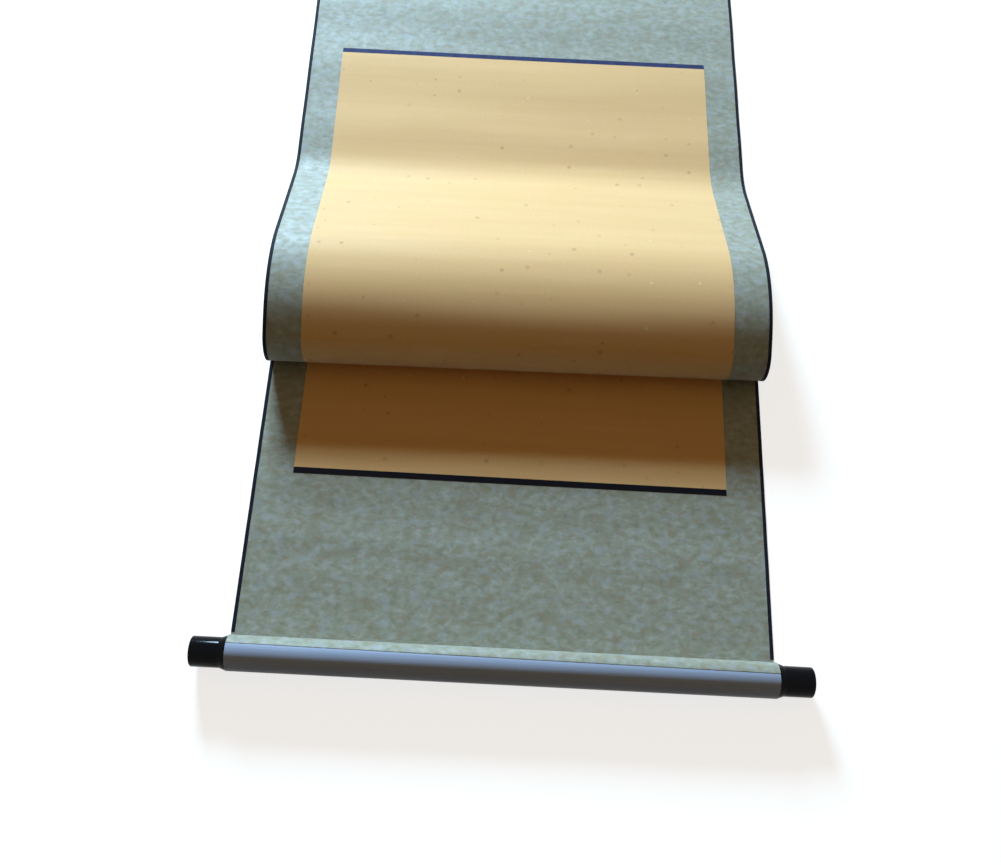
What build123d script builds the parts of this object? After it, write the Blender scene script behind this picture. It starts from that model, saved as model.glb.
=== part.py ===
from build123d import *
import os
from math import asin, cos, degrees, radians, sin, sqrt

# Hanging paper scroll, laid face up on a table with one loose S-fold across its picture panel.
# X runs along the roller, Y from the roller to the hanging stave, Z up from the table.
# The origin is on the table, under the middle of the whole scroll.

# Sheet and what is pasted on its face
heart_width = 340.0
side_margin = 30.0
mount_thickness = 0.6
heart_length = 680.0
facing_thickness = 0.2
strip_height = 5.0
binding_width = 3.5
binding_lap = 0.2
lower_margin = 143.0
upper_margin = 230.0
roller_tail = 3.0

# S-fold, all radii at the back face of the sheet; the share is of the heart's length
front_roll_share = 0.1562
front_roll_radius = 19.9
shoulder_angle = 24.4
shoulder_length = 8.0
crest_radius = 104.5
slope_angle = 24.4
valley_radius = 75.0
fold_overlap = 78.8
back_bend_radius = 9.0
rise_angle = 30.0
lead_radius = 40.0
layer_gap = 0.1

# Roller
roller_inset = 3.0
tube_radius = 12.7
tube_wall = 1.5
cap_length = 26.0
cap_radius = 10.9
shoulder_run = 5.0
cap_end_chamfer = 1.0
cap_wall = 1.6
spigot_length = 14.0
spigot_clearance = 0.1
wrap_thickness = 0.3
wrap_seam_angle = 6.0
wrap_hollow_radius = 3.0
wrap_foot = 5.0

# Hanging stave and its two eyelets
stave_width = 22.0
stave_side = 8.0
stave_crown = 4.0
stave_wrap_foot = 6.0
eyelet_spacing = 200.0
eyelet_height = 5.0
eyelet_bore_radius = 2.0
eyelet_ring_width = 1.6
eyelet_ring_thickness = 2.0
eyelet_neck = 1.0
shank_radius = 0.9
shank_depth = 8.0
shank_clearance = 0.05
cut_overrun = 1.0

# Angles of a straight and a square corner
half_turn = 180.0
quarter_turn = 90.0

# The sheet is as wide as its panel and two margins, and the roller's tube a little shorter
sheet_width = heart_width + 2 * side_margin
tube_length = sheet_width - 2 * roller_inset

# Heights of the two layers that lie on each other inside the fold
face_height = mount_thickness + facing_thickness
middle_height = 2 * face_height + layer_gap

# Straight stretches of the fold that follow from its radii, angles and heights
rise, shoulder, slope = radians(rise_angle), radians(shoulder_angle), radians(slope_angle)
rise_length = (
    back_bend_radius * (1 + cos(rise)) - lead_radius * (1 - cos(rise)) - middle_height
) / sin(rise)
lead_run = (
    back_bend_radius * sin(rise) + rise_length * cos(rise) + lead_radius * sin(rise)
)
overlap_run = fold_overlap - lead_run
shoulder_top = (
    middle_height + front_roll_radius * (1 + cos(shoulder)) + shoulder_length * sin(shoulder)
)
crest_height = shoulder_top + crest_radius * (1 - cos(shoulder))
slope_length = (
    crest_height - (crest_radius + valley_radius) * (1 - cos(slope))
) / sin(slope)

# Each bend of the fold: radius at the back face, turn (left is positive), straight after it
bends = (
    (back_bend_radius, half_turn + rise_angle, rise_length),
    (lead_radius, -rise_angle, overlap_run),
    (front_roll_radius, shoulder_angle - half_turn, shoulder_length),
    (crest_radius, -(shoulder_angle + slope_angle), slope_length),
)

# Length of paper in the fold, and how far along the table it carries the sheet
fold_paper = sum(radius * radians(abs(turn)) + run for radius, turn, run in bends)
fold_paper += valley_radius * slope
fold_advance = (
    -fold_overlap
    - front_roll_radius * sin(shoulder)
    + shoulder_length * cos(shoulder)
    + crest_radius * (sin(shoulder) + sin(slope))
    + slope_length * cos(slope)
    + valley_radius * sin(slope)
)

# Places along Y, first from the roller's axis, then from the middle of the scroll
heart_from_roller = lower_margin + strip_height
front_roll_from_roller = heart_from_roller + front_roll_share * heart_length
back_bend_from_roller = front_roll_from_roller + fold_overlap
fold_end_from_roller = back_bend_from_roller + fold_advance
heart_top_from_roller = fold_end_from_roller + heart_length - (
    back_bend_from_roller - heart_from_roller + fold_paper
)
stave_from_roller = heart_top_from_roller + strip_height + upper_margin
stave_end_from_roller = stave_from_roller + stave_width
eyelet_ring_radius = eyelet_bore_radius + eyelet_ring_width
eyelet_from_roller = stave_end_from_roller + wrap_thickness + eyelet_neck + eyelet_ring_radius
roller_y = (tube_radius - eyelet_from_roller - eyelet_ring_radius) / 2

heart_y = roller_y + heart_from_roller
back_bend_y = roller_y + back_bend_from_roller
heart_top_y = roller_y + heart_top_from_roller
stave_y = roller_y + stave_from_roller
stave_end_y = roller_y + stave_end_from_roller
eyelet_y = roller_y + eyelet_from_roller
roller_z = mount_thickness + tube_radius
wrap_foot_y = roller_y + 2 * sqrt(tube_radius * wrap_hollow_radius)
wrap_end_y = wrap_foot_y + wrap_foot
eyelet_z = mount_thickness + eyelet_height
eyelet_x = eyelet_spacing / 2


def follow(start, heading, lift, turns):
    """Draw tangent arcs and straights, lift above the side that the bends are measured on."""
    here = start
    for radius, turn, run in turns:
        arc = JernArc(here, heading, radius - lift if turn > 0 else radius + lift, turn)
        here, heading = arc @ 1, arc % 1
        if run > 0:
            straight = Line(here, here + heading * run)
            here = straight @ 1
    return here, heading


def sheet_line(lift, start_y, end_y):
    """Draw the folded sheet's side view at one height above its back face."""
    lower = Line((start_y, lift), (back_bend_y, lift))
    here, heading = follow(lower @ 1, lower % 1, lift, bends)
    valley = JernArc(here, heading, valley_radius - lift, slope_angle)
    Line(valley @ 1, (end_y, lift))


def sheet_layer(low, high, start_y, end_y):
    """Draw the closed side view of one layer of the folded sheet."""
    sheet_line(low, start_y, end_y)
    sheet_line(high, start_y, end_y)
    Line((start_y, low), (start_y, high))
    Line((end_y, low), (end_y, high))


os.makedirs("parts", exist_ok=True)

# Mount: backing paper and patterned mounting paper, laminated into one folded sheet
with BuildPart() as mount_sheet:
    with BuildSketch(Plane.YZ.offset(-sheet_width / 2)):
        with BuildLine():
            sheet_layer(0, mount_thickness, roller_y - roller_tail, stave_end_y + wrap_thickness)
        make_face()
    extrude(amount=sheet_width)
mount_sheet.part.label = "mount_sheet"
export_step(mount_sheet.part, "parts/mount_sheet.step")

# Heart: the blank picture panel, pasted on the mount and folded with it
with BuildPart() as heart_paper:
    with BuildSketch(Plane.YZ.offset(-heart_width / 2)):
        with BuildLine():
            sheet_layer(mount_thickness, face_height, heart_y, heart_top_y)
        make_face()
    extrude(amount=heart_width)
heart_paper.part.label = "heart_paper"
export_step(heart_paper.part, "parts/heart_paper.step")

# Narrow dark strips that close the heart's two ends
with BuildPart() as lower_strip:
    with BuildSketch(Plane.XY.offset(mount_thickness)):
        with Locations((0, heart_y - strip_height / 2)):
            Rectangle(heart_width, strip_height)
    extrude(amount=facing_thickness)
lower_strip.part.label = "lower_strip"
export_step(lower_strip.part, "parts/lower_strip.step")

with BuildPart() as upper_strip:
    with BuildSketch(Plane.XY.offset(mount_thickness)):
        with Locations((0, heart_top_y + strip_height / 2)):
            Rectangle(heart_width, strip_height)
    extrude(amount=facing_thickness)
upper_strip.part.label = "upper_strip"
export_step(upper_strip.part, "parts/upper_strip.step")

# Edge bindings: each lies on the face and laps over the sheet's cut edge
with BuildPart() as edge_binding_right:
    with BuildSketch(Plane.YZ.offset(sheet_width / 2 - binding_width)):
        with BuildLine():
            sheet_layer(mount_thickness, face_height, wrap_end_y, stave_y - stave_wrap_foot)
        make_face()
    extrude(amount=binding_width + binding_lap)
    with BuildSketch(Plane.YZ.offset(sheet_width / 2)):
        with BuildLine():
            sheet_layer(0, mount_thickness, wrap_end_y, stave_y - stave_wrap_foot)
        make_face()
    extrude(amount=binding_lap)
edge_binding_right.part.label = "edge_binding_right"
export_step(edge_binding_right.part, "parts/edge_binding_right.step")

with BuildPart() as edge_binding_left:
    mirror(edge_binding_right.part, about=Plane.YZ)
edge_binding_left.part.label = "edge_binding_left"
export_step(edge_binding_left.part, "parts/edge_binding_left.step")

# Roller: a tube that lies on the sheet's lower end
with BuildPart() as roller_tube:
    with BuildSketch(Plane.YZ.offset(-tube_length / 2)):
        with Locations((roller_y, roller_z)):
            Circle(tube_radius)
            Circle(tube_radius - tube_wall, mode=Mode.SUBTRACT)
    extrude(amount=tube_length)
roller_tube.part.label = "roller_tube"
export_step(roller_tube.part, "parts/roller_tube.step")

# Wrap: paper over the roller's back, glued to the tube and by its foot to the sheet
wrap_drop = degrees(asin((tube_radius - wrap_hollow_radius) / (tube_radius + wrap_hollow_radius)))
wrap_bends = (
    (tube_radius, wrap_seam_angle - quarter_turn - wrap_drop, 0),
    (wrap_hollow_radius, quarter_turn + wrap_drop, wrap_foot),
)
seam_out = Vector(sin(radians(wrap_seam_angle)), cos(radians(wrap_seam_angle)))
seam_heading = Vector(cos(radians(wrap_seam_angle)), -sin(radians(wrap_seam_angle)))
seam_low = Vector(roller_y, roller_z) + seam_out * tube_radius
seam_high = seam_low + seam_out * wrap_thickness
with BuildPart() as roller_wrap:
    with BuildSketch(Plane.YZ.offset(-tube_length / 2)):
        with BuildLine():
            foot_low, heading = follow(seam_low, seam_heading, 0, wrap_bends)
            foot_high, heading = follow(seam_high, seam_heading, wrap_thickness, wrap_bends)
            Line(seam_low, seam_high)
            Line(foot_low, foot_high)
        make_face()
    extrude(amount=tube_length)
roller_wrap.part.label = "roller_wrap"
export_step(roller_wrap.part, "parts/roller_wrap.step")

# End caps: hollow, with a coned shoulder outside and a spigot inside the tube
roller_axis = Axis((0, roller_y, roller_z), (1, 0, 0))
cap_plane = Plane((tube_length / 2, roller_y, roller_z), x_dir=(1, 0, 0), z_dir=(0, -1, 0))
spigot_radius = tube_radius - tube_wall - spigot_clearance
cap_bore = cap_radius - cap_wall
with BuildPart() as roller_cap_right:
    with BuildSketch(cap_plane):
        with BuildLine():
            Polyline(
                (-spigot_length, cap_bore),
                (-spigot_length, spigot_radius),
                (0, spigot_radius),
                (0, tube_radius),
                (shoulder_run, cap_radius),
                (cap_length, cap_radius),
                (cap_length, 0),
                (cap_length - cap_wall, 0),
                (cap_length - cap_wall, cap_bore),
                close=True,
            )
        make_face()
    revolve(axis=roller_axis)
    chamfer(roller_cap_right.edges().sort_by(Axis.X)[-1], length=cap_end_chamfer)
roller_cap_right.part.label = "roller_cap_right"
export_step(roller_cap_right.part, "parts/roller_cap_right.step")

with BuildPart() as roller_cap_left:
    mirror(roller_cap_right.part, about=Plane.YZ)
roller_cap_left.part.label = "roller_cap_left"
export_step(roller_cap_left.part, "parts/roller_cap_left.step")


def stave_outline():
    """Draw the stave's section: flat below, straight sides and a crowned top."""
    near, far = Vector(stave_y, mount_thickness), Vector(stave_end_y, mount_thickness)
    side = Vector(0, stave_side)
    Polyline(near + side, near, far, far + side)
    SagittaArc(near + side, far + side, stave_crown)


# Hanging stave: a crowned batten on the sheet's upper end, bored for the two eyelets
with BuildPart() as top_stave:
    with BuildSketch(Plane.YZ.offset(-sheet_width / 2)):
        with BuildLine():
            stave_outline()
        make_face()
    extrude(amount=sheet_width)
    with BuildSketch(Plane.XZ.offset(-stave_end_y)):
        with Locations((-eyelet_x, eyelet_z), (eyelet_x, eyelet_z)):
            Circle(shank_radius + shank_clearance)
    extrude(amount=shank_depth + cut_overrun, mode=Mode.SUBTRACT)
top_stave.part.label = "top_stave"
export_step(top_stave.part, "parts/top_stave.step")

# Stave wrap: the patterned paper over the stave, glued by its foot to the sheet
with BuildPart() as stave_wrap:
    with BuildSketch(Plane.YZ.offset(-sheet_width / 2)):
        with BuildLine():
            stave_outline()
        make_face()
        offset(amount=wrap_thickness)
        with Locations((stave_y, mount_thickness)):
            Rectangle(stave_wrap_foot, wrap_thickness, align=(Align.MAX, Align.MIN))
        with BuildLine():
            stave_outline()
        make_face(mode=Mode.SUBTRACT)
        with Locations((stave_y - cut_overrun, mount_thickness)):
            below = (Align.MIN, Align.MAX)
            Rectangle(stave_width + 2 * cut_overrun, cut_overrun, align=below, mode=Mode.SUBTRACT)
    extrude(amount=sheet_width)
    with BuildSketch(Plane.XZ.offset(-stave_end_y - cut_overrun)):
        with Locations((-eyelet_x, eyelet_z), (eyelet_x, eyelet_z)):
            Circle(shank_radius + shank_clearance)
    extrude(amount=2 * cut_overrun, mode=Mode.SUBTRACT)
stave_wrap.part.label = "stave_wrap"
export_step(stave_wrap.part, "parts/stave_wrap.step")

# Eyelets: a ring for the hanging cord on a shank driven into the stave's far side
with BuildPart() as eyelet_right:
    with BuildSketch(Plane.YZ.offset(eyelet_x)):
        with Locations((eyelet_y, eyelet_z)):
            Circle(eyelet_ring_radius)
    extrude(amount=eyelet_ring_thickness / 2, both=True)
    with BuildSketch(Plane.XZ.offset(-eyelet_y)):
        with Locations((eyelet_x, eyelet_z)):
            Circle(shank_radius)
    extrude(amount=eyelet_y - stave_end_y + shank_depth)
    with BuildSketch(Plane.YZ.offset(eyelet_x)):
        with Locations((eyelet_y, eyelet_z)):
            Circle(eyelet_bore_radius)
    extrude(amount=eyelet_ring_thickness, both=True, mode=Mode.SUBTRACT)
eyelet_right.part.label = "eyelet_right"
export_step(eyelet_right.part, "parts/eyelet_right.step")

with BuildPart() as eyelet_left:
    mirror(eyelet_right.part, about=Plane.YZ)
eyelet_left.part.label = "eyelet_left"
export_step(eyelet_left.part, "parts/eyelet_left.step")
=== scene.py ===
from math import asin, ceil, cos, pi, radians, sin, sqrt

import bmesh
import bpy
import numpy as np
from mathutils import Matrix, Vector


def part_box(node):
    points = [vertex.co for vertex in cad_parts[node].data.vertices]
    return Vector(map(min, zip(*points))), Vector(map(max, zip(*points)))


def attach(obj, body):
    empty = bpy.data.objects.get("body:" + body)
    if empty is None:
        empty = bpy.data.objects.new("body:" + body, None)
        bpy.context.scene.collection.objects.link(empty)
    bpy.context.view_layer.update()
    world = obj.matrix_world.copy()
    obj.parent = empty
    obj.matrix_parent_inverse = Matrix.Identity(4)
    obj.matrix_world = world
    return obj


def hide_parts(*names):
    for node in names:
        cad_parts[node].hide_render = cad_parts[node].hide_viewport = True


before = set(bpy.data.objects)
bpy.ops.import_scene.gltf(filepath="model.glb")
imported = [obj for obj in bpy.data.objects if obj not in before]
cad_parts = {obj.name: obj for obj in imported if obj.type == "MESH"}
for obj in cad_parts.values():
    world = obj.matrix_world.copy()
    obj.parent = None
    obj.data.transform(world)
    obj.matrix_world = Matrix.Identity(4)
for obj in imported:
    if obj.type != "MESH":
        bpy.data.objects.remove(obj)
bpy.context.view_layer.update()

mm = 0.001

# The S-fold, at the back face of the sheet, as the solids follow it
front_roll_share = 0.1562
front_roll_radius = 19.9 * mm
shoulder_angle = radians(24.4)
shoulder_length = 8 * mm
crest_radius = 104.5 * mm
slope_angle = radians(24.4)
valley_radius = 75 * mm
fold_overlap = 78.8 * mm
back_bend_radius = 9 * mm
rise_angle = radians(30)
lead_radius = 40 * mm
layer_gap = 0.1 * mm
heart_length = 680 * mm

# The paper beyond the fold lies a little askew, and comes back in line before the stave
skew = radians(0.85)
skew_ends = (240 * mm, 380 * mm)

# Faint waves that stay in paper that has lain rolled up, and where along it they rise and fade
lower_wave_height = 0.14 * mm
lower_wave_length = 37 * mm
lower_wave_rises = (45 * mm, 85 * mm)
lower_wave_fades = (185 * mm, 225 * mm)
upper_wave_height = 0.36 * mm
upper_wave_length = 76 * mm
upper_wave_phase = 1.5
hump_wave_height = 0.35 * mm

# How wide the edge bindings show on the face
binding_face = 2.6 * mm

# How fine the sheets are meshed
row_step = 4 * mm
row_turn = radians(3)
column_step = 8 * mm
smooth_below = radians(35)

# Places and sizes that the frame gives
mount_low, mount_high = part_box("mount_sheet")
_, heart_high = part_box("heart_paper")
lower_strip_low, lower_strip_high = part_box("lower_strip")
upper_strip_low, upper_strip_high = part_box("upper_strip")
binding_low, binding_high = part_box("edge_binding_right")
tube_low, tube_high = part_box("roller_tube")
cap_low, cap_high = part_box("roller_cap_right")
_, wrap_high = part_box("roller_wrap")
eyelet_low, eyelet_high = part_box("eyelet_right")
mount_thickness = lower_strip_low.z
face_height = lower_strip_high.z
sheet_half = mount_high.x
heart_half = heart_high.x
tube_half = tube_high.x
tube_radius = (tube_high.y - tube_low.y) / 2
roller_y = (tube_low.y + tube_high.y) / 2
roller_z = mount_thickness + tube_radius
front_roll_y = lower_strip_high.y + front_roll_share * heart_length
back_bend_y = front_roll_y + fold_overlap


def colour(red, green, blue):
    """A colour written as it looks on screen, 0 to 255, as the shader wants it."""
    screen = np.array([red, green, blue]) / 255
    linear = np.where(screen <= 0.04045, screen / 12.92, ((screen + 0.055) / 1.055) ** 2.4)
    return (*[float(part) for part in linear], 1.0)


def ease(low, high, value):
    """0 below low, 1 above high, and smooth between them."""
    share = np.clip((np.asarray(value, float) - low) / (high - low), 0, 1)
    return share * share * (3 - 2 * share)


# The sheet's side view

def fold_stretches():
    """Length and turn of each stretch of the back face, from the sheet's lower end to its upper end."""
    middle_height = 2 * face_height + layer_gap
    rise_length = (
        back_bend_radius * (1 + cos(rise_angle)) - lead_radius * (1 - cos(rise_angle)) - middle_height
    ) / sin(rise_angle)
    overlap_run = fold_overlap - rise_length * cos(rise_angle)
    overlap_run -= (back_bend_radius + lead_radius) * sin(rise_angle)
    crest_height = middle_height + front_roll_radius * (1 + cos(shoulder_angle))
    crest_height += shoulder_length * sin(shoulder_angle) + crest_radius * (1 - cos(shoulder_angle))
    slope_length = (
        crest_height - (crest_radius + valley_radius) * (1 - cos(slope_angle))
    ) / sin(slope_angle)
    bends = (
        (back_bend_radius, pi + rise_angle, rise_length),
        (lead_radius, -rise_angle, overlap_run),
        (front_roll_radius, shoulder_angle - pi, shoulder_length),
        (crest_radius, -(shoulder_angle + slope_angle), slope_length),
        (valley_radius, slope_angle, 0),
    )
    stretches = [(back_bend_y - mount_low.y, 0)]
    for radius, turn, run in bends:
        stretches.append((radius * abs(turn), turn))
        if run > 0:
            stretches.append((run, 0))
    return stretches


def travel(start, heading, length, turn):
    """Where an arc or a straight of this length and turn leads from a point (y, z)."""
    middle = heading + turn / 2
    chord = length * np.sinc(turn / 2 / pi)
    return start + chord * np.array([np.cos(middle), np.sin(middle)])


def laid_out(stretches, start, last_y):
    """Each stretch with the distance, point and heading at which it starts, and a last straight to last_y."""
    rows, distance, point, heading = [], 0.0, np.array(start, float), 0.0
    for length, turn in stretches:
        rows.append((distance, point, heading, length, turn))
        point = travel(point, heading, length, turn)
        distance, heading = distance + length, heading + turn
    rows.append((distance, point, heading, last_y - point[0], 0.0))
    return rows


stretches = laid_out(fold_stretches(), (mount_low.y, 0.0), mount_high.y)
fold_starts = stretches[1][0]
front_roll_starts = stretches[5][0]
crest_starts = stretches[7][0]
fold_ends, (fold_end_y, _) = stretches[-1][:2]
sheet_length = stretches[-1][0] + stretches[-1][3]


def along_lower(y):
    """Distance along the paper of a place on the flat between the roller and the fold."""
    return y - mount_low.y


def along_upper(y):
    """Distance along the paper of a place on the flat between the fold and the stave."""
    return fold_ends + y - fold_end_y


def side_view(distance):
    """Point (y, z) of the back face and unit vector out of the face, at a distance along the paper."""
    row = [row for row in stretches if row[0] <= distance + 1e-9][-1]
    start, point, heading, length, turn = row
    share = (distance - start) / length
    here = travel(point, heading, share * length, share * turn)
    heading += share * turn
    return here, np.array([-sin(heading), cos(heading)])


def stations(start, end):
    """Distances at which a band from start to end gets a row of points, denser in the bends."""
    found = [start]
    for first, _, _, length, turn in stretches:
        steps = max(1, ceil(length / row_step), ceil(abs(turn) / row_turn))
        found += [first + length * step / steps for step in range(steps + 1)]
    found.append(end)
    inside = sorted(distance for distance in found if start <= distance <= end)
    return [a for a, b in zip(inside, inside[1:]) if b - a > 0.05 * mm] + [end]


def askew(x, y, distance):
    """The place (x, y) of a point of the sheet, turned in plan where the paper lies askew."""
    start = ease(fold_starts, front_roll_starts, distance)
    angle = skew * start * (1 - ease(*[along_upper(end) for end in skew_ends], distance))
    away = y - front_roll_y
    return x * cos(angle) - away * sin(angle), front_roll_y + x * sin(angle) + away * cos(angle)


def ripple(x, distance):
    """How far the paper stands off its even line: faint waves across it, from lying rolled up."""
    lower = ease(*lower_wave_rises, distance) * (1 - ease(*lower_wave_fades, distance))
    upper = ease(fold_ends - 10 * mm, fold_ends + 40 * mm, distance)
    upper = upper * (1 - ease(sheet_length - 70 * mm, sheet_length - 40 * mm, distance))
    hump = ease(crest_starts, crest_starts + 30 * mm, distance)
    hump = hump * (1 - ease(fold_ends - 40 * mm, fold_ends, distance))
    across = np.sin(x / (95 * mm) + 0.6) + 0.6 * np.sin(x / (41 * mm) + distance / (60 * mm))
    lower_turn = 2 * pi * distance / lower_wave_length
    upper_turn = 2 * pi * (distance - fold_ends) / upper_wave_length + upper_wave_phase
    lower_wave = lower_wave_height * (1 - np.cos(lower_turn + 0.7 * across))
    upper_wave = upper_wave_height * (1 - np.cos(upper_turn + 0.5 * across))
    hump_wave = hump_wave_height * np.sin(x / (62 * mm) + 1.1) * np.sin(distance / (48 * mm))
    return lower * lower_wave + upper * upper_wave + hump * hump_wave


# Meshes

def turn_outward(mesh):
    """Turns every face of a closed mesh so that it looks out of the piece."""
    build = bmesh.new()
    build.from_mesh(mesh)
    bmesh.ops.recalc_face_normals(build, faces=build.faces)
    build.to_mesh(mesh)
    build.free()


def mesh_object(name, points, faces, looks, face_looks=None, flat=None):
    """A piece that rides on the object, with its materials, smooth faces and sharp edges."""
    mesh = bpy.data.meshes.new(name)
    mesh.from_pydata([tuple(point) for point in points], [], faces)
    for material in looks:
        mesh.materials.append(material)
    if face_looks is not None:
        mesh.polygons.foreach_set("material_index", face_looks)
    if flat is not None:
        mesh.attributes.new("flat", "FLOAT_VECTOR", "POINT").data.foreach_set("vector", np.ravel(flat))
    mesh.polygons.foreach_set("use_smooth", [True] * len(mesh.polygons))
    mesh.update()
    turn_outward(mesh)
    mesh.set_sharp_from_angle(angle=smooth_below)
    made = bpy.data.objects.new(name, mesh)
    bpy.context.scene.collection.objects.link(made)
    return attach(made, "root")


def loft(name, rings, looks, ring_looks, flat):
    """A closed skin over rings of points, each ring as long as the next, with its two ends filled."""
    count = len(rings[0])
    points = [point for ring in rings for point in ring]
    faces, face_looks = [], []
    for row in range(len(rings) - 1):
        for column in range(count):
            a, b = row * count + column, row * count + (column + 1) % count
            faces.append((a, b, b + count, a + count))
            face_looks.append(ring_looks[column] if ring_looks else 0)
    first = list(range(count))
    last = [len(points) - count + index for index in first]
    faces += [tuple(reversed(first)), tuple(last)]
    edge_look = ring_looks[-1] if ring_looks else 0
    face_looks += [edge_look, edge_look]
    return mesh_object(name, points, faces, looks, face_looks, flat)


def band(name, profile, start, end, looks, profile_looks=None):
    """A closed band of the folded sheet: a profile of (x, height) carried from start to end."""
    rings, flat = [], []
    for distance in stations(start, end):
        here, out = side_view(distance)
        ring = []
        for x, height in profile:
            y, z = here + out * (height + ripple(x, distance))
            ring.append((*askew(x, y, distance), z))
            flat.append((x, distance, height))
        rings.append(ring)
    return loft(name, rings, looks, profile_looks, flat)


def layer_profile(half_width, low, high):
    """Section of a flat layer, and for each of its sides 0 for the face and 1 for the back and the edges."""
    columns = ceil(2 * half_width / column_step)
    across = [half_width * (1 - 2 * column / columns) for column in range(columns + 1)]
    profile = [(x, high) for x in across] + [(x, low) for x in reversed(across)]
    return profile, [0] * columns + [1] * (columns + 2)


def lathe(name, profile, side, looks, turns=96):
    """A closed solid of revolution about the roller's axis, from the (x, radius) points of its outline."""
    rings = []
    for turn in range(turns):
        angle = 2 * pi * turn / turns
        rings.append([
            (side * x, roller_y + radius * cos(angle), roller_z + radius * sin(angle))
            for x, radius in profile
        ])
    count = len(profile)
    points = [point for ring in rings for point in ring]
    faces = []
    for turn in range(turns):
        near, far = turn * count, (turn + 1) % turns * count
        for index in range(count):
            after = (index + 1) % count
            faces.append((near + index, near + after, far + after, far + index))
    return mesh_object(name, points, faces, looks)


def rounded(corners, radius, steps=6):
    """The points of an outline with its corners rounded; a corner is (x, y) or (x, y, its own radius)."""
    points = []
    for index, corner in enumerate(corners):
        here = np.array(corner[:2], float)
        bend = corner[2] if len(corner) > 2 else radius
        if bend <= 0 or index in (0, len(corners) - 1):
            points.append(tuple(here))
            continue
        before = np.array(corners[index - 1][:2], float) - here
        after = np.array(corners[index + 1][:2], float) - here
        before /= np.linalg.norm(before)
        after /= np.linalg.norm(after)
        half = np.arccos(np.clip(before @ after, -1, 1)) / 2
        reach = bend / np.tan(half)
        centre = here + (before + after) / np.linalg.norm(before + after) * bend / np.sin(half)
        first, last = here + before * reach - centre, here + after * reach - centre
        sweep = np.arctan2(first[0] * last[1] - first[1] * last[0], first @ last)
        for step in range(steps + 1):
            angle = sweep * step / steps
            turned = (
                first[0] * cos(angle) - first[1] * sin(angle),
                first[0] * sin(angle) + first[1] * cos(angle),
            )
            points.append((centre[0] + turned[0], centre[1] + turned[1]))
    return points


# Materials

def node(tree, kind, inputs=None, **settings):
    """A new node with its settings, and each input linked to a socket or given a value."""
    made = tree.nodes.new(kind)
    for name, value in settings.items():
        setattr(made, name, value)
    for name, value in (inputs or {}).items():
        socket = made.inputs[name]
        if isinstance(value, bpy.types.NodeSocket):
            tree.links.new(value, socket)
        else:
            socket.default_value = value
    return made


def new_material(name, **uniform):
    """A material and its tree and shader, with uniform numbers and colours on the shader's own sockets."""
    material = bpy.data.materials.new(name)
    material.use_nodes = True
    tree = material.node_tree
    shader = tree.nodes["Principled BSDF"]
    for key, value in uniform.items():
        shader.inputs[key.replace("_", " ").replace("Ior", "IOR")].default_value = value
    return material, tree, shader


def place_on(tree, flat, scale):
    """Coordinates in metres, on the unrolled sheet or in the object's frame, times a scale per axis."""
    if flat:
        found = node(tree, "ShaderNodeAttribute", attribute_name="flat").outputs["Vector"]
    else:
        found = node(tree, "ShaderNodeTexCoord").outputs["Object"]
    return node(tree, "ShaderNodeMapping", {"Vector": found, "Scale": scale}).outputs["Vector"]


def noise(tree, place, detail, roughness=0.5, distortion=0.0):
    """Smooth noise with features about one unit of place across."""
    inputs = {
        "Vector": place, "Scale": 1.0, "Detail": detail, "Roughness": roughness, "Distortion": distortion,
    }
    return node(tree, "ShaderNodeTexNoise", inputs).outputs["Fac"]


def stops(tree, factor, *pairs):
    """A ramp of colours; each pair is a position and a colour."""
    made = node(tree, "ShaderNodeValToRGB", {"Fac": factor})
    points = made.color_ramp.elements
    while len(points) < len(pairs):
        points.new(0.5)
    for point, (position, shade) in zip(points, pairs):
        point.position = position
        point.color = shade
    return made.outputs["Color"]


def between(tree, factor, low, high, to_low, to_high):
    """A factor mapped smoothly from low..high to to_low..to_high."""
    inputs = {"Value": factor, "From Min": low, "From Max": high, "To Min": to_low, "To Max": to_high}
    return node(tree, "ShaderNodeMapRange", inputs, interpolation_type="SMOOTHSTEP").outputs["Result"]


def mixed(tree, factor, first, second):
    """Two colours mixed by a factor."""
    made = node(tree, "ShaderNodeMix", data_type="RGBA")
    for socket, value in ((made.inputs[0], factor), (made.inputs[6], first), (made.inputs[7], second)):
        if isinstance(value, bpy.types.NodeSocket):
            tree.links.new(value, socket)
        else:
            socket.default_value = value
    return made.outputs[2]


def maths(tree, operation, first, second):
    """One sum on two numbers or sockets."""
    return node(tree, "ShaderNodeMath", {0: first, 1: second}, operation=operation).outputs["Value"]


def relief(tree, shader, height, depth):
    """Bump from a height of 0 to 1 that stands for depth metres."""
    bump = node(tree, "ShaderNodeBump", {"Height": height, "Distance": depth, "Strength": 1.0})
    tree.links.new(bump.outputs["Normal"], shader.inputs["Normal"])


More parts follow.
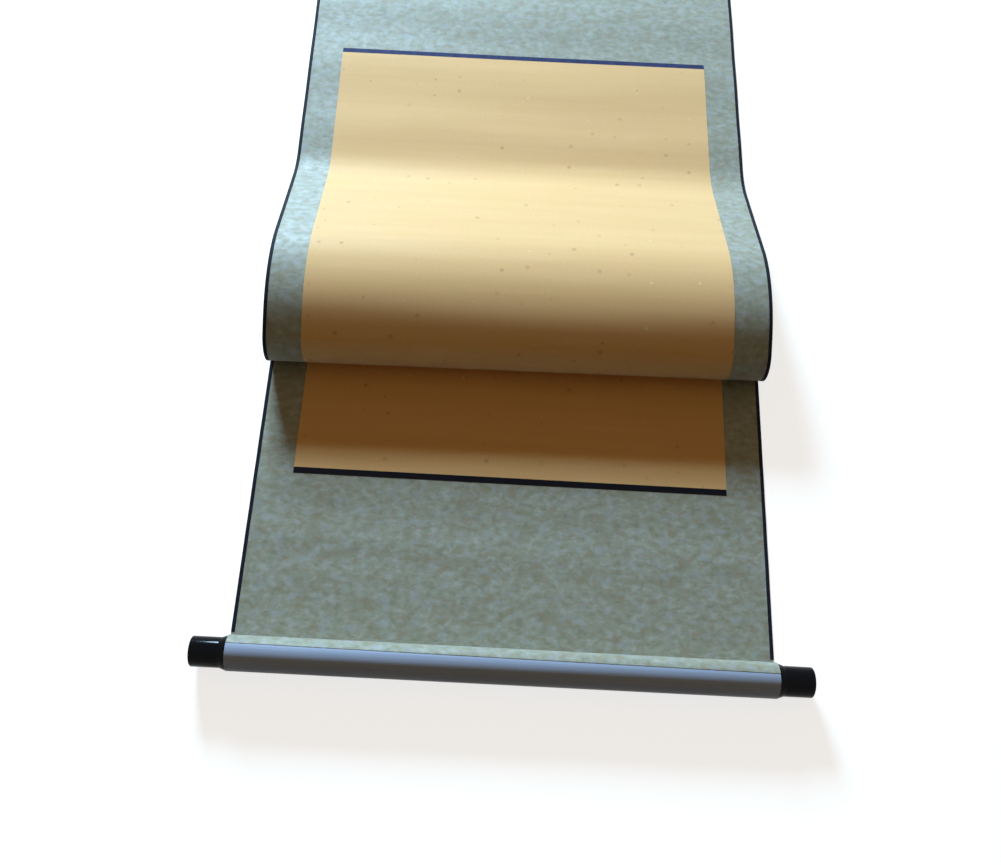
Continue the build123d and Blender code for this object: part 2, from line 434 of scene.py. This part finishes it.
def mottled_paper(name, flat):
    """Mounting paper: small grey-green, blue-grey and olive-brown blotches on a fibrous ground."""
    material, tree, shader = new_material(
        name, Specular_Ior_Level=0.15, Sheen_Weight=0.5, Sheen_Roughness=0.55
    )
    cloud = noise(tree, place_on(tree, flat, (150, 200, 200)), detail=2, roughness=0.55, distortion=0.3)
    ground = stops(
        tree, cloud,
        (0.30, colour(124, 124, 101)),
        (0.43, colour(137, 138, 117)),
        (0.55, colour(145, 146, 128)),
        (0.70, colour(156, 158, 147)),
    )
    patch = noise(tree, place_on(tree, flat, (42, 76, 76)), detail=2, roughness=0.5, distortion=0.5)
    ground = mixed(tree, between(tree, patch, 0.48, 0.66, 0, 0.42), ground, colour(126, 119, 92))
    brown = noise(tree, place_on(tree, flat, (115, 175, 175.5)), detail=1, roughness=0.5, distortion=0.6)
    ground = mixed(tree, between(tree, brown, 0.54, 0.70, 0, 0.50), ground, colour(137, 117, 86))
    blue = noise(tree, place_on(tree, flat, (95, 130.5, 130)), detail=1, roughness=0.5)
    ground = mixed(tree, between(tree, blue, 0.54, 0.70, 0, 0.40), ground, colour(149, 152, 154))
    fibre = noise(tree, place_on(tree, flat, (700, 1900, 1900)), detail=2)
    ground = mixed(tree, between(tree, fibre, 0.3, 0.7, 0, 0.05), ground, colour(214, 206, 182))
    tree.links.new(ground, shader.inputs["Base Color"])
    tree.links.new(between(tree, cloud, 0.3, 0.7, 0.54, 0.46), shader.inputs["Roughness"])
    relief(tree, shader, maths(tree, "ADD", maths(tree, "MULTIPLY", fibre, 0.3), cloud), 0.02 * mm)
    return material


def backing_paper():
    """Plain off-white backing paper with long soft fibres."""
    material, tree, shader = new_material("backing_paper", Specular_Ior_Level=0.25, Roughness=0.75)
    fibre = noise(tree, place_on(tree, True, (300, 1500, 1500)), detail=4, roughness=0.6, distortion=0.8)
    cloud = noise(tree, place_on(tree, True, (25, 25, 25)), detail=2)
    paper = stops(tree, fibre, (0.30, colour(220, 214, 198)), (0.70, colour(238, 234, 222)))
    paper = mixed(tree, between(tree, cloud, 0.35, 0.65, 0, 0.25), paper, colour(226, 220, 200))
    tree.links.new(paper, shader.inputs["Base Color"])
    relief(tree, shader, fibre, 0.05 * mm)
    return material


def fleck(tree, spacing, radius, chance):
    """Small soft flecks: up to 1 on a fleck and 0 off it, one chance in each cell of this spacing."""
    place = place_on(tree, True, (1 / spacing, 1 / spacing, 0))
    cell = node(
        tree, "ShaderNodeTexVoronoi",
        {"Vector": place, "Scale": 1.0, "Randomness": 1.0},
        voronoi_dimensions="2D",
    )
    drawn = node(tree, "ShaderNodeSeparateColor", {"Color": cell.outputs["Color"]})
    shown = maths(tree, "LESS_THAN", drawn.outputs["Red"], chance)
    smallest, faintest = 0.5, 0.4
    full_inside, gone_outside = 0.3, 1.25
    size = between(tree, drawn.outputs["Green"], 0, 1, smallest * radius / spacing, radius / spacing)
    reach = maths(tree, "DIVIDE", cell.outputs["Distance"], size)
    inside = between(tree, reach, full_inside, gone_outside, 1, 0)
    depth = between(tree, drawn.outputs["Blue"], 0, 1, faintest, 1)
    return maths(tree, "MULTIPLY", maths(tree, "MULTIPLY", shown, inside), depth)


def heart_look():
    """Gold-orange picture paper with faint streaks across, sparse dark flecks and a few bright gold ones."""
    material, tree, shader = new_material(
        "heart_paper_gold", Specular_Ior_Level=0.03,
        Sheen_Weight=0.34, Sheen_Roughness=0.6, Sheen_Tint=colour(180, 222, 255),
    )
    streak = noise(tree, place_on(tree, True, (6, 110, 1)), detail=3, roughness=0.5)
    cloud = noise(tree, place_on(tree, True, (26, 48, 1)), detail=3)
    fibre = noise(tree, place_on(tree, True, (420, 900, 1)), detail=3)
    paper = stops(tree, streak, (0.30, colour(226, 175, 110)), (0.70, colour(232, 183, 119)))
    paper = mixed(tree, between(tree, cloud, 0.3, 0.7, 0, 0.5), paper, colour(226, 179, 109))
    paper = mixed(tree, between(tree, fibre, 0.35, 0.7, 0, 0.10), paper, colour(250, 224, 182))
    dark = fleck(tree, spacing=21 * mm, radius=2.2 * mm, chance=0.3)
    paper = mixed(tree, maths(tree, "MULTIPLY", dark, 0.42), paper, colour(158, 100, 48))
    gold = fleck(tree, spacing=47.3 * mm, radius=1.4 * mm, chance=0.3)
    paper = mixed(tree, maths(tree, "MULTIPLY", gold, 0.5), paper, colour(250, 236, 190))
    tree.links.new(paper, shader.inputs["Base Color"])
    tree.links.new(between(tree, gold, 0, 1, 0.45, 0.30), shader.inputs["Roughness"])
    relief(tree, shader, fibre, 0.015 * mm)
    return material


def ribbon(name, dark, light):
    """Narrow woven ribbon: fine ribs across, with a soft sheen."""
    material, tree, shader = new_material(
        name, Specular_Ior_Level=0.05, Roughness=0.6, Sheen_Weight=0.05, Sheen_Roughness=0.5
    )
    rib = node(
        tree, "ShaderNodeTexWave",
        {"Vector": place_on(tree, True, (1, 1, 0)), "Scale": 900, "Distortion": 0.6, "Detail": 1.0},
        bands_direction="DIAGONAL",
    ).outputs["Fac"]
    wear = noise(tree, place_on(tree, True, (160, 160, 160)), detail=3)
    shade = stops(tree, maths(tree, "MULTIPLY", rib, wear), (0.15, dark), (0.6, light))
    tree.links.new(shade, shader.inputs["Base Color"])
    relief(tree, shader, rib, 0.05 * mm)
    return material


def satin_tube():
    """Satin silver-grey tube with fine lines drawn along it."""
    material, tree, shader = new_material("tube_satin", Specular_Ior_Level=0.16)
    line = noise(tree, place_on(tree, False, (6, 1400, 1400)), detail=2)
    cloud = noise(tree, place_on(tree, False, (30, 120, 120)), detail=2)
    grey = stops(tree, line, (0.30, colour(148, 158, 178)), (0.70, colour(160, 170, 189)))
    grey = mixed(tree, between(tree, cloud, 0.4, 0.7, 0, 0.3), grey, colour(146, 156, 175))
    tree.links.new(grey, shader.inputs["Base Color"])
    tree.links.new(between(tree, cloud, 0.3, 0.7, 0.40, 0.48), shader.inputs["Roughness"])
    relief(tree, shader, line, 0.01 * mm)
    return material


def black_plastic():
    """Glossy black moulded plastic with the faintest unevenness in its polish."""
    material, tree, shader = new_material("cap_black", Specular_Ior_Level=0.07)
    haze = noise(tree, place_on(tree, False, (260, 260, 260)), detail=3)
    black = stops(tree, haze, (0.3, colour(3, 4, 8)), (0.7, colour(6, 7, 12)))
    tree.links.new(black, shader.inputs["Base Color"])
    tree.links.new(between(tree, haze, 0.3, 0.7, 0.10, 0.14), shader.inputs["Roughness"])
    relief(tree, shader, haze, 0.01 * mm)
    return material


def stave_wood():
    """Pale softwood: rings on the cut ends and grain along the batten."""
    material, tree, shader = new_material("stave_wood_pine", Specular_Ior_Level=0.3, Roughness=0.6)
    ring = node(
        tree, "ShaderNodeTexWave",
        {"Vector": place_on(tree, False, (2, 1, 1.6)), "Scale": 170, "Distortion": 3.5, "Detail": 2.0},
        bands_direction="Y",
    ).outputs["Fac"]
    grain = noise(tree, place_on(tree, False, (40, 1500, 1500)), detail=2)
    wood = stops(tree, ring, (0.2, colour(196, 160, 112)), (0.9, colour(222, 192, 146)))
    wood = mixed(tree, between(tree, grain, 0.4, 0.7, 0, 0.25), wood, colour(170, 132, 86))
    tree.links.new(wood, shader.inputs["Base Color"])
    relief(tree, shader, grain, 0.04 * mm)
    return material


def ring_metal():
    """Nickel-plated wire, slightly dulled."""
    material, tree, shader = new_material("eyelet_nickel", Metallic=1.0)
    haze = noise(tree, place_on(tree, False, (700, 700, 700)), detail=3)
    metal = stops(tree, haze, (0.3, colour(172, 170, 164)), (0.7, colour(196, 194, 188)))
    tree.links.new(metal, shader.inputs["Base Color"])
    tree.links.new(between(tree, haze, 0.3, 0.7, 0.24, 0.36), shader.inputs["Roughness"])
    relief(tree, shader, haze, 0.01 * mm)
    return material


mount_paper = mottled_paper("mount_paper_mottled", True)
wrap_paper = mottled_paper("wrap_paper_mottled", True)
stave_paper = mottled_paper("stave_paper_mottled", False)
backing = backing_paper()
heart_gold = heart_look()
# Painted light: both end strips are one dark navy ribbon. The upper copy is painted a lighter blue for the
# window's sheen on it. The lower copy is painted near-black for shade.
upper_ribbon_painted_lit = ribbon("ribbon_upper_painted_lit", colour(38, 44, 76), colour(66, 74, 114))
lower_ribbon_painted_shade = ribbon("ribbon_lower_painted_shade", colour(7, 6, 12), colour(15, 14, 24))
edge_ribbon = ribbon("ribbon_edge", colour(18, 19, 27), colour(36, 38, 52))
satin_grey = satin_tube()
cap_black = black_plastic()
wood = stave_wood()
nickel = ring_metal()


# The sheet and what is pasted on it

def make_mount():
    """The laminated mount: patterned face, plain back."""
    profile, sides = layer_profile(sheet_half, 0, mount_thickness)
    piece = band("mount_folded", profile, 0, sheet_length, [mount_paper, backing], sides)
    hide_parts("mount_sheet")
    return piece


def make_heart():
    """The blank picture panel, pasted on the mount and folded with it."""
    profile, sides = layer_profile(heart_half, mount_thickness, face_height)
    start, end = along_lower(lower_strip_high.y), along_upper(upper_strip_low.y)
    piece = band("heart_folded", profile, start, end, [heart_gold], [0] * len(sides))
    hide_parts("heart_paper")
    return piece


def make_strip(name, node_name, start, end, look):
    """A narrow dark ribbon across one end of the heart."""
    profile, sides = layer_profile(heart_half, mount_thickness, face_height)
    piece = band(name, profile, start, end, [look], [0] * len(sides))
    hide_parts(node_name)
    return piece


def make_binding(name, node_name, side):
    """A dark ribbon on the face along one edge, turned down over the cut edge."""
    inner = sheet_half - binding_face
    cut_edge, turned_edge = 0.05 * mm, 0.18 * mm
    corners = (
        (sheet_half, mount_thickness),
        (inner, mount_thickness),
        (inner, face_height, cut_edge),
        (binding_high.x, face_height, turned_edge),
        (binding_high.x, 0),
        (sheet_half, 0),
    )
    profile = [(side * x, height) for x, height in rounded(corners, 0, steps=4)]
    start, end = along_lower(binding_low.y), along_upper(binding_high.y)
    piece = band(name, profile, start, end, [edge_ribbon])
    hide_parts(node_name)
    return piece


lower_strip_span = (along_lower(lower_strip_low.y), along_lower(lower_strip_high.y))
upper_strip_span = (along_upper(upper_strip_low.y), along_upper(upper_strip_high.y))
mount = make_mount()
heart = make_heart()
strips = [
    # The lower strip gets the painted-shade copy of the ribbon, and the upper strip gets the painted-sheen
    # copy.
    make_strip("strip_lower", "lower_strip", *lower_strip_span, lower_ribbon_painted_shade),
    make_strip("strip_upper", "upper_strip", *upper_strip_span, upper_ribbon_painted_lit),
]
bindings = [
    make_binding("binding_right", "edge_binding_right", 1),
    make_binding("binding_left", "edge_binding_left", -1),
]


# The roller

cap_length = cap_high.x - tube_half
cap_radius = 10.9 * mm
cap_shoulder = 5 * mm
cap_wall = 1.6 * mm
spigot_length = tube_half - cap_low.x
spigot_radius = 11.1 * mm
tube_wall = 1.5 * mm
wrap_seam = radians(20)
wrap_seam_lean = radians(5)
wrap_thickness = 0.3 * mm
wrap_hollow_radius = 3 * mm


def make_tube():
    """The roller's tube, with its cut ends inside the caps' shoulders."""
    bore = tube_radius - tube_wall
    profile = [
        (-tube_half, bore), (-tube_half, tube_radius), (tube_half, tube_radius), (tube_half, bore),
    ]
    piece = lathe("tube_shell", profile, 1, [satin_grey], turns=144)
    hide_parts("roller_tube")


def make_cap(name, node_name, side):
    """A hollow moulded cap: coned shoulder, rounded end with a shallow dish, spigot inside the tube."""
    end = tube_half + cap_length
    dish = 0.5 * mm
    rim = cap_radius - 2.6 * mm
    dish_floor = rim - 1.8 * mm
    nearly_axis = 0.01 * mm
    outline = rounded(
        (
            (tube_half - spigot_length, cap_radius - cap_wall),
            (tube_half - spigot_length, spigot_radius, 0.4 * mm),
            (tube_half, spigot_radius, 0),
            (tube_half, tube_radius, 0.15 * mm),
            (tube_half + cap_shoulder, cap_radius, 4 * mm),
            (end, cap_radius, 1.2 * mm),
            (end, rim, 0.6 * mm),
            (end - dish, dish_floor, 1.5 * mm),
            (end - dish, nearly_axis, 0),
            (end - cap_wall, nearly_axis, 0),
            (end - cap_wall, cap_radius - cap_wall, 0.5 * mm),
            (tube_half - spigot_length, cap_radius - cap_wall, 0),
        ),
        0.3 * mm,
    )
    piece = lathe(name, outline[:-1], side, [cap_black])
    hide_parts(node_name)


def wrap_section(seam):
    """Section of the wrap, its seam at this angle behind the top: (y, z, distance from its foot)."""
    drop = asin((tube_radius - wrap_hollow_radius) / (tube_radius + wrap_hollow_radius))
    foot = wrap_high.y - roller_y - 2 * sqrt(tube_radius * wrap_hollow_radius)
    runs = (
        (tube_radius * (drop + pi / 2 - seam), seam - pi / 2 - drop, 44),
        (wrap_hollow_radius * (pi / 2 + drop), pi / 2 + drop, 48),
        (foot, 0.0, 4),
    )
    whole = sum(length for length, _, _ in runs)
    point = np.array((roller_y + tube_radius * sin(seam), roller_z + tube_radius * cos(seam)))
    heading, distance = -seam, 0.0
    low, high = [], []
    for length, turn, steps in runs:
        first = 0 if not low else 1
        for step in range(first, steps + 1):
            share = step / steps
            here = travel(point, heading, share * length, share * turn)
            angle = heading + share * turn
            out = np.array([-sin(angle), cos(angle)]) * wrap_thickness
            along = whole - distance - share * length
            low.append((*here, along))
            high.append((*(here + out), along))
        point, heading, distance = travel(point, heading, length, turn), heading + turn, distance + length
    return low + high[::-1]


def make_wrap():
    """Mottled paper over the roller's back, its seam a little askew, its foot glued to the sheet."""
    columns = ceil(2 * tube_half / column_step)
    rings, flat = [], []
    for column in range(columns + 1):
        x = tube_half * (2 * column / columns - 1)
        seam = wrap_seam - wrap_seam_lean * x / tube_half
        ring = wrap_section(seam)
        rings.append([(x, y, z) for y, z, _ in ring])
        flat += [(x, along, 0.0) for _, _, along in ring]
    piece = loft("wrap_roller", rings, [wrap_paper], None, flat)
    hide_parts("roller_wrap")


make_tube()
make_cap("cap_right", "roller_cap_right", 1)
make_cap("cap_left", "roller_cap_left", -1)
make_wrap()


# The hanging stave and its eyelets

def dress_node(name, material):
    """Gives a carried-over solid its material."""
    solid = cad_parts[name]
    solid.data.materials.clear()
    solid.data.materials.append(material)


def make_eyelet(name, node_name, side):
    """A wire ring on a shank that is driven into the stave."""
    ring_radius = (eyelet_high.z - eyelet_low.z) / 2
    thickness = (eyelet_high.x - eyelet_low.x) / 2
    wire = 0.8 * mm
    x_middle = side * (eyelet_high.x + eyelet_low.x) / 2
    y_middle, z_middle = eyelet_high.y - ring_radius, (eyelet_high.z + eyelet_low.z) / 2
    turns, around = 48, 16
    points, faces = [], []
    for turn in range(turns):
        angle = 2 * pi * turn / turns
        for step in range(around):
            section = 2 * pi * step / around
            reach = ring_radius - wire + wire * cos(section)
            points.append((
                x_middle + thickness * sin(section),
                y_middle + reach * cos(angle),
                z_middle + reach * sin(angle),
            ))
            a, b = turn * around + step, turn * around + (step + 1) % around
            shift = around if turn < turns - 1 else around - turns * around
            faces.append((a, b, b + shift, a + shift))
    shank_radius, tip_radius, tip_length = 0.9 * mm, 0.3 * mm, 1 * mm
    shank_end, shank_start = eyelet_low.y, y_middle - ring_radius + wire
    shank = (
        (shank_start, shank_radius),
        (shank_end + tip_length, shank_radius),
        (shank_end, tip_radius),
    )
    base = len(points)
    for y, radius in shank:
        for step in range(around):
            angle = 2 * pi * step / around
            points.append((x_middle + radius * cos(angle), y, z_middle + radius * sin(angle)))
    for row in range(len(shank) - 1):
        for step in range(around):
            a, b = base + row * around + step, base + row * around + (step + 1) % around
            faces.append((a, b, b + around, a + around))
    faces.append(tuple(base + step for step in reversed(range(around))))
    faces.append(tuple(len(points) - around + step for step in range(around)))
    piece = mesh_object(name, points, faces, [nickel])
    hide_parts(node_name)


dress_node("top_stave", wood)
dress_node("stave_wrap", stave_paper)
make_eyelet("eyelet_ring_right", "eyelet_right", 1)
make_eyelet("eyelet_ring_left", "eyelet_left", -1)


# Floor, light and camera

def seen_directly(tree):
    """1 for camera, mirror and glass rays, 0 for the rays that light the object."""
    path = node(tree, "ShaderNodeLightPath").outputs
    seen = maths(tree, "MAXIMUM", path["Is Camera Ray"], path["Is Glossy Ray"])
    return maths(tree, "MAXIMUM", seen, path["Is Transmission Ray"])


def make_floor():
    """A pale floor that glows up to white for camera, mirror and glass rays, and keeps the soft shadow."""
    half, level = 4.0, -0.3 * mm
    corners = [(-half, -half, level), (half, -half, level), (half, half, level), (-half, half, level)]
    mesh = bpy.data.meshes.new("floor")
    mesh.from_pydata(corners, [], [(0, 1, 2, 3)])
    floor = bpy.data.objects.new("floor", mesh)
    bpy.context.scene.collection.objects.link(floor)
    material = bpy.data.materials.new("floor_pale")
    material.use_nodes = True
    tree = material.node_tree
    tree.nodes.clear()
    fill_to_white = 0.76
    glow_level = maths(tree, "MULTIPLY", seen_directly(tree), fill_to_white)
    glow = node(tree, "ShaderNodeEmission", {"Color": (1, 1, 1, 1), "Strength": glow_level})
    pale = node(tree, "ShaderNodeBsdfDiffuse", {"Color": colour(190, 188, 182)})
    both = node(tree, "ShaderNodeAddShader", {0: pale.outputs["BSDF"], 1: glow.outputs["Emission"]})
    node(tree, "ShaderNodeOutputMaterial", {"Surface": both.outputs["Shader"]})
    mesh.materials.append(material)


def make_world():
    """Warm room light, stronger from the ceiling and from the window's side, with a white background."""
    world = bpy.data.worlds.new("room")
    bpy.context.scene.world = world
    world.use_nodes = True
    tree = world.node_tree
    tree.nodes.clear()
    direction = node(tree, "ShaderNodeTexCoord").outputs["Generated"]
    parts = node(tree, "ShaderNodeSeparateXYZ", {"Vector": direction}).outputs
    window_share = 0.45
    lean = maths(tree, "ADD", parts["Z"], maths(tree, "MULTIPLY", parts["Y"], window_share))
    level = node(
        tree, "ShaderNodeMapRange",
        {"Value": lean, "From Min": -0.1, "From Max": 1.1, "To Min": 0.005, "To Max": 0.268},
    ).outputs["Result"]
    room = node(tree, "ShaderNodeBackground", {"Color": colour(255, 217, 160), "Strength": level})
    white = node(tree, "ShaderNodeBackground", {"Color": (1, 1, 1, 1), "Strength": 1.0})
    chosen = node(
        tree, "ShaderNodeMixShader",
        {0: seen_directly(tree), 1: room.outputs["Background"], 2: white.outputs["Background"]},
    )
    node(tree, "ShaderNodeOutputWorld", {"Surface": chosen.outputs["Shader"]})


def make_lamp(name, target, azimuth, elevation, distance, size, power, shade):
    """A soft rectangular lamp that looks at target; azimuth is counted from +Y towards -X."""
    away = Vector((-sin(azimuth) * cos(elevation), cos(azimuth) * cos(elevation), sin(elevation)))
    light = bpy.data.lights.new(name, "AREA")
    light.shape = "RECTANGLE"
    light.size, light.size_y = size
    light.energy = power
    light.color = colour(*shade)[:3]
    lamp = bpy.data.objects.new(name, light)
    bpy.context.scene.collection.objects.link(lamp)
    lamp.location = target + away * distance
    lamp.rotation_euler = away.to_track_quat("Z", "Y").to_euler()


def make_camera(place, yaw, pitch, roll, focal, width):
    """A camera that looks down on the scroll from the roller's side; focal length and width in pixels."""
    forward = Vector((sin(yaw) * cos(pitch), cos(yaw) * cos(pitch), -sin(pitch)))
    level = Vector((cos(yaw), -sin(yaw), 0))
    upright = level.cross(forward)
    right = level * cos(roll) + upright * sin(roll)
    top = upright * cos(roll) - level * sin(roll)
    camera = bpy.data.objects.new("camera", bpy.data.cameras.new("camera"))
    bpy.context.scene.collection.objects.link(camera)
    turned = Matrix((right, top, -forward)).transposed().to_4x4()
    camera.matrix_world = Matrix.Translation(place) @ turned
    camera.data.lens = camera.data.sensor_width * focal / width
    camera.data.clip_start = 10 * mm
    bpy.context.scene.camera = camera


bpy.context.scene.view_settings.view_transform = "Standard"
make_floor()
make_world()
hump_top = Vector((0, -130 * mm, 50 * mm))
make_lamp(
    "window", hump_top,
    azimuth=radians(18), elevation=radians(21), distance=2.2,
    size=(0.6, 0.42), power=132, shade=(190, 225, 253),
)
camera_place = Vector((-21.2 * mm, roller_y - 113.5 * mm, 741.4 * mm))
make_camera(camera_place, yaw=0.038, pitch=1.1861, roll=0.0896, focal=1000, width=1001)
